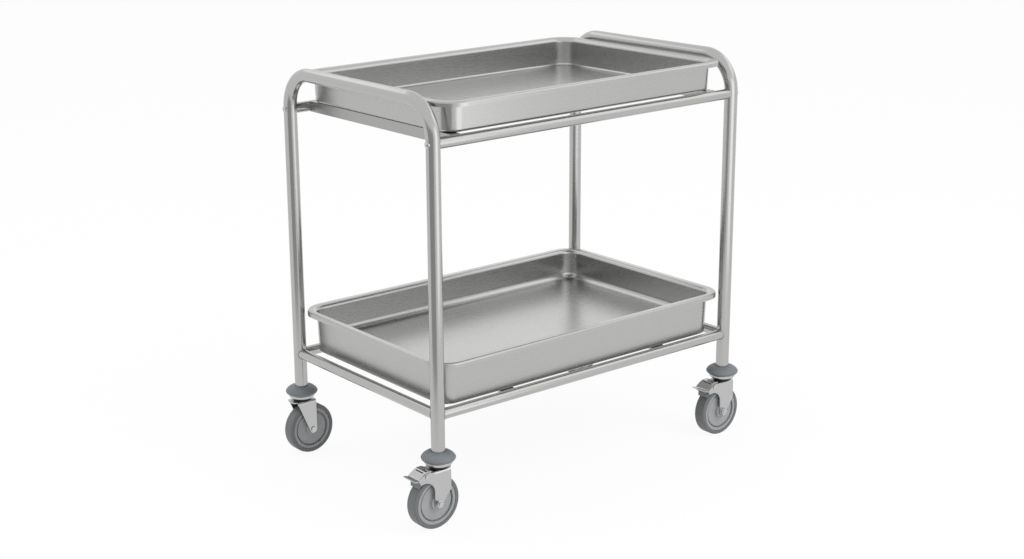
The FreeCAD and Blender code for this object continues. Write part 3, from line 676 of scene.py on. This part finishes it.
@dataclass(frozen=True)
class FootBend:
    """The bend at a tray's foot: the solid rounds it wide, and the pressed sheet turns more tightly."""

    node: str
    solid_radius_mm: float
    pressed_radius_mm: float
    tray_depth_mm: float
    draft_mm: float
    rim_corner_mm: float = 50.0
    flange_mm: float = 19.0
    sheet_mm: float = 1.2
    # How far off the bend's faces a point may stand and still count as on them
    slack_mm: float = 0.4
    # The share of the turn, at each end of the bend, whose points stay where they are
    end_share: float = 0.02

    @property
    def lean(self) -> float:
        """Give the wall's lean from upright, in radians."""
        return math.atan(self.draft_mm / (self.tray_depth_mm - self.sheet_mm))

    @property
    def sweep(self) -> float:
        """Give the angle that the sheet turns through from the wall to the foot, in radians."""
        return math.pi / 2 + self.lean

    def centre(self, inner_radius: float) -> tuple[float, float]:
        """Find the middle of a bend between the foot and the leaning wall.

        Args:
            inner_radius: The bend's inner radius in metres.

        Returns:
            How far it stands outwards from the corner's axis and upwards from the tray's underside.
        """
        foot = (self.rim_corner_mm - self.flange_mm - self.draft_mm) * MM
        return (foot + inner_radius * (math.tan(self.lean) - 1 / math.cos(self.lean)),
                self.sheet_mm * MM + inner_radius)

    def rings(self, shape: bmesh.types.BMesh) -> tuple[list, list]:
        """Find the points on the bend's inner and outer faces.

        Args:
            shape: The copy of the tray's mesh.

        Returns:
            For each face, its points, each with its way out from the corner's axis and its share of the turn.
        """
        low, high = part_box(self.node)
        axis_x, axis_y = high[0] - self.rim_corner_mm * MM, high[1] - self.rim_corner_mm * MM
        sheet, slack, past_end = self.sheet_mm * MM, self.slack_mm * MM, self.end_share / 2
        radius = self.solid_radius_mm * MM - sheet
        middle_out, middle_up = self.centre(radius)
        found: tuple[list, list] = ([], [])
        for vertex in shape.verts:
            x, y, z = vertex.co
            side = Vector((max(abs(x) - axis_x, 0.0) * math.copysign(1, x),
                           max(abs(y) - axis_y, 0.0) * math.copysign(1, y)))
            out, down = side.length - middle_out, low[2] + middle_up - z
            reach = math.hypot(out, down)
            turn = (math.atan2(down, out) + self.lean) / self.sweep
            if out < -slack or not -past_end < turn < 1 + past_end:
                continue
            if radius - slack < reach < radius + sheet + slack:
                found[int(reach > radius + sheet / 2)].append((vertex, side, turn))
        return found

    def tighten(self, shape: bmesh.types.BMesh) -> None:
        """Draw the bend's inner and outer faces in to the tighter radius.

        Args:
            shape: The copy of the tray's mesh.
        """
        foot_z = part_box(self.node)[0][2]
        sheet = self.sheet_mm * MM
        inner_radius = self.pressed_radius_mm * MM - sheet
        middle_out, middle_up = self.centre(inner_radius)
        for layer, ring in enumerate(self.rings(shape)):
            step = min(turn for _, _, turn in ring if turn > self.end_share)
            radius = inner_radius + layer * sheet
            for vertex, side, turn in ring:
                if not self.end_share < turn < 1 - self.end_share:
                    continue
                share = min(max((turn - step) / (1 - 2 * step), 0.0), 1.0)
                angle = share * self.sweep - self.lean
                moved = side.normalized() * (middle_out + radius * math.cos(angle)) - side
                vertex.co += Vector((moved.x, moved.y, 0.0))
                vertex.co.z = foot_z + middle_up - radius * math.sin(angle)


@dataclass
class Trays:
    """The two pressed trays."""

    skin: SolidSkin
    bends: tuple[FootBend, ...] = (
        FootBend("upper_tray", solid_radius_mm=15.0, pressed_radius_mm=6.0, tray_depth_mm=57.5, draft_mm=2.0),
        FootBend("lower_tray", solid_radius_mm=10.0, pressed_radius_mm=3.0, tray_depth_mm=84.5, draft_mm=3.0))

    def dress(self) -> None:
        """Cover both trays, each with its foot drawn in tight."""
        for bend in self.bends:
            self.skin.cover(bend.node, self.skin.finishes.sheet, "stainless_sheet", reshape=bend.tighten)


@dataclass
class Caster:
    """One caster, with or without a foot brake."""

    skin: SolidSkin
    prefix: str
    braked: bool
    fine_edge_mm: float = 0.3
    fork_edge_mm: float = 0.35
    shoe_edge_mm: float = 0.4
    moulded_edge_mm: float = 0.5

    def dress(self) -> None:
        """Cover the caster's pieces."""
        finishes = self.skin.finishes
        cover = self.skin.cover
        cover(self.prefix + "_caster_stem", finishes.zinc, "plated_steel", self.fine_edge_mm)
        cover(self.prefix + "_bumper_disc", finishes.bumper, "bumper_rubber", self.moulded_edge_mm)
        cover(self.prefix + "_race_cap", finishes.zinc, "plated_steel", self.fine_edge_mm)
        cover(self.prefix + "_thrust_ring", finishes.acetal, "bearing_plastic", self.fine_edge_mm)
        cover(self.prefix + "_fork", finishes.zinc, "plated_steel", self.fork_edge_mm)
        cover(self.prefix + "_axle_bolt", finishes.bolt, "bolt_steel", self.fine_edge_mm)
        cover(self.prefix + "_axle_sleeve", finishes.zinc, "plated_steel")
        cover(self.prefix + "_wheel_core", finishes.wheel, "wheel_plastic", self.moulded_edge_mm)
        cover(self.prefix + "_tyre", finishes.tread, "tread_rubber")
        if self.braked:
            cover(self.prefix + "_brake_pedal", finishes.zinc, "plated_steel", self.fine_edge_mm)
            cover(self.prefix + "_brake_shoe", finishes.bumper, "bumper_rubber", self.shoe_edge_mm)
            cover(self.prefix + "_brake_pin", finishes.bolt, "bolt_steel", self.fine_edge_mm)


@dataclass(frozen=True)
class PhotoCamera:
    """The camera at the photograph's place, worked out from the trolley's straight tubes."""

    place_mm: tuple[float, float, float] = (-2019.8, -2423.2, 1263.5)
    yaw_degrees: float = 36.27
    pitch_degrees: float = 15.94
    roll_degrees: float = -1.18
    focal_px: float = 1671.5
    centre_right_px: float = -98.0
    centre_down_px: float = -10.2
    sight_m: float = 200.0

    def build(self) -> None:
        """Make the scene's camera."""
        yaw = math.radians(self.yaw_degrees)
        pitch = math.radians(self.pitch_degrees)
        roll = math.radians(self.roll_degrees)
        ahead = Vector((math.sin(yaw) * math.cos(pitch), math.cos(yaw) * math.cos(pitch), -math.sin(pitch)))
        level_right = Vector((math.cos(yaw), -math.sin(yaw), 0.0))
        level_up = level_right.cross(ahead)
        right = math.cos(roll) * level_right + math.sin(roll) * level_up
        up = -math.sin(roll) * level_right + math.cos(roll) * level_up
        data = bpy.data.cameras.new("photo_camera")
        data.sensor_width = SENSOR_MM
        data.lens = self.focal_px / PICTURE_WIDTH * SENSOR_MM
        data.shift_x = -self.centre_right_px / PICTURE_WIDTH
        data.shift_y = self.centre_down_px / PICTURE_WIDTH
        data.clip_end = self.sight_m
        camera = bpy.data.objects.new("photo_camera", data)
        turn = Matrix((right, up, -ahead)).transposed().to_4x4()
        camera.matrix_world = Matrix.Translation(Vector(self.place_mm) * MM) @ turn
        bpy.context.scene.collection.objects.link(camera)
        bpy.context.scene.camera = camera


def arc(radius: float, first: float, last: float, steps: int = 12) -> tuple[tuple[float, float], ...]:
    """List points on a circle round the trolley.

    Args:
        radius: Metres from the middle.
        first: Degrees from the -Y side towards +X, where the arc starts.
        last: Where it ends.
        steps: How many pieces it is divided into.

    Returns:
        The points, as (x, y).
    """
    turns = [math.radians(first + (last - first) * step / steps) for step in range(steps + 1)]
    return tuple((radius * math.sin(turn), -radius * math.cos(turn)) for turn in turns)


@dataclass(frozen=True)
class Card:
    """An upright sheet of grey or glowing card that only polished surfaces see."""

    name: str
    floor_line: tuple[tuple[float, float], ...]
    low: float
    high: float
    glow: float

    def stand(self) -> None:
        """Stand the card on its line."""
        count = len(self.floor_line)
        points = [(x, y, z) for z in (self.low, self.high) for x, y in self.floor_line]
        faces = [(k, k + 1, k + 1 + count, k + count) for k in range(count - 1)]
        mesh = bpy.data.meshes.new(self.name)
        mesh.from_pydata(points, [], faces)
        material, tree = new_material(self.name + "_face")
        light = add_node(tree, "ShaderNodeEmission", {"Color": WHITE, "Strength": self.glow})
        add_node(tree, "ShaderNodeOutputMaterial", {}, {"Surface": light})
        mesh.materials.append(material)
        card = bpy.data.objects.new(self.name, mesh)
        card.visible_camera = False
        card.visible_diffuse = False
        card.visible_shadow = False
        bpy.context.scene.collection.objects.link(card)


@dataclass(frozen=True)
class Softbox:
    """A soft rectangular lamp that faces the trolley. Polished surfaces see the cards in its place."""

    name: str
    azimuth: float
    elevation: float
    size: tuple[float, float]
    watts: float
    distance: float = 4.0
    aim_height: float = 0.4

    def hang(self) -> None:
        """Hang the lamp at its azimuth, in degrees from the -Y side towards +X, and its elevation."""
        lamp = bpy.data.lights.new(self.name, "AREA")
        lamp.shape = "RECTANGLE"
        lamp.size, lamp.size_y = self.size
        lamp.energy = self.watts
        obj = bpy.data.objects.new(self.name, lamp)
        turn, tilt = math.radians(self.azimuth), math.radians(self.elevation)
        back = Vector((math.sin(turn) * math.cos(tilt), -math.cos(turn) * math.cos(tilt), math.sin(tilt)))
        obj.location = Vector((0, 0, self.aim_height)) + back * self.distance
        obj.rotation_mode = "QUATERNION"
        obj.rotation_quaternion = back.to_track_quat("Z", "Y")
        obj.visible_glossy = False
        bpy.context.scene.collection.objects.link(obj)


@dataclass
class Studio:
    """A white floor, a white dome and soft lamps, with cards that give the metal its light and dark bands."""

    floor_half: float = 30.0
    floor_colour: str = "#f4f4f4"
    floor_share: float = 0.93
    dome_high: float = 0.85
    dome_low: float = 0.55
    dome_span: tuple[float, float] = (-0.1, 0.8)
    cards: tuple[Card, ...] = (
        Card("grey_side_card", ((-0.76, -0.90), (-1.06, -0.40), (-1.36, 0.12)), 0.0, 0.9, 0.45),
        Card("front_glow_card", arc(1.6, -14.0, 26.0), 0.0, 1.3, 1.75),
        Card("high_glow_card", arc(2.0, 26.0, 95.0), 1.4, 3.0, 1.5),
        Card("rear_high_glow_card", arc(2.0, 165.0, 215.0), 1.9, 2.5, 1.6),
        Card("rear_low_glow_card", arc(1.1, 115.0, 165.0), 0.45, 0.8, 1.3),
    )
    lamps: tuple[Softbox, ...] = (
        Softbox("key_softbox", 19.0, 40.0, (2.4, 2.6), 60.0),
        Softbox("top_softbox", -120.0, 62.0, (3.0, 3.0), 40.0),
    )

    def floor(self) -> None:
        """Make the floor, which is white to the camera but keeps a faint shadow."""
        half = self.floor_half
        mesh = bpy.data.meshes.new("studio_floor")
        mesh.from_pydata([(-half, -half, 0), (half, -half, 0), (half, half, 0), (-half, half, 0)], [],
                         [(0, 1, 2, 3)])
        material, tree = new_material("matt_white_paper")
        diffuse = add_node(tree, "ShaderNodeBsdfDiffuse", {"Color": linear(self.floor_colour)})
        glow = add_node(tree, "ShaderNodeEmission", {"Color": WHITE, "Strength": 1.0})
        share = add_node(tree, "ShaderNodeMath", {"operation": "MULTIPLY", 1: self.floor_share},
                         {0: seen_plainly(tree)})
        mix = add_node(tree, "ShaderNodeMixShader", {}, {0: share, 1: diffuse, 2: glow})
        add_node(tree, "ShaderNodeOutputMaterial", {}, {"Surface": mix})
        mesh.materials.append(material)
        floor = bpy.data.objects.new("studio_floor", mesh)
        bpy.context.scene.collection.objects.link(floor)

    def dome(self) -> None:
        """Light the studio from all round, brighter above than at the horizon, and white to the camera."""
        world = bpy.data.worlds.new("studio_dome")
        world.use_nodes = True
        tree = world.node_tree
        tree.nodes.clear()
        place = add_node(tree, "ShaderNodeTexCoord")
        parts = add_node(tree, "ShaderNodeSeparateXYZ", {}, {0: place.outputs["Generated"]})
        height = add_node(tree, "ShaderNodeMapRange",
                          {"From Min": self.dome_span[0], "From Max": self.dome_span[1],
                           "To Min": self.dome_low, "To Max": self.dome_high}, {"Value": parts.outputs["Z"]})
        strength = add_node(tree, "ShaderNodeMath", {"operation": "MAXIMUM"},
                            {0: height, 1: seen_plainly(tree)})
        sky = add_node(tree, "ShaderNodeBackground", {"Color": WHITE}, {"Strength": strength})
        add_node(tree, "ShaderNodeOutputWorld", {}, {"Surface": sky})
        bpy.context.scene.world = world

    def build(self) -> None:
        """Set up the floor, the dome, the cards, the lamps and the view settings."""
        self.floor()
        self.dome()
        for card in self.cards:
            card.stand()
        for lamp in self.lamps:
            lamp.hang()
        bpy.context.scene.view_settings.view_transform = "Standard"
        LOG.info("studio set up")


def main() -> None:
    """Dress the trolley, sub-assembly by sub-assembly, then set up the camera and the studio."""
    logging.basicConfig(level=logging.INFO, format="%(name)s: %(message)s")
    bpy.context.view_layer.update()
    skin = SolidSkin(Finishes())
    TubeFrame(skin).dress()
    Trays(skin).dress()
    for prefix, braked in (("front_left", True), ("front_right", True), ("rear_left", False),
                           ("rear_right", False)):
        Caster(skin, prefix, braked).dress()
    PhotoCamera().build()
    Studio().build()


if __name__ == "__main__":
    main()
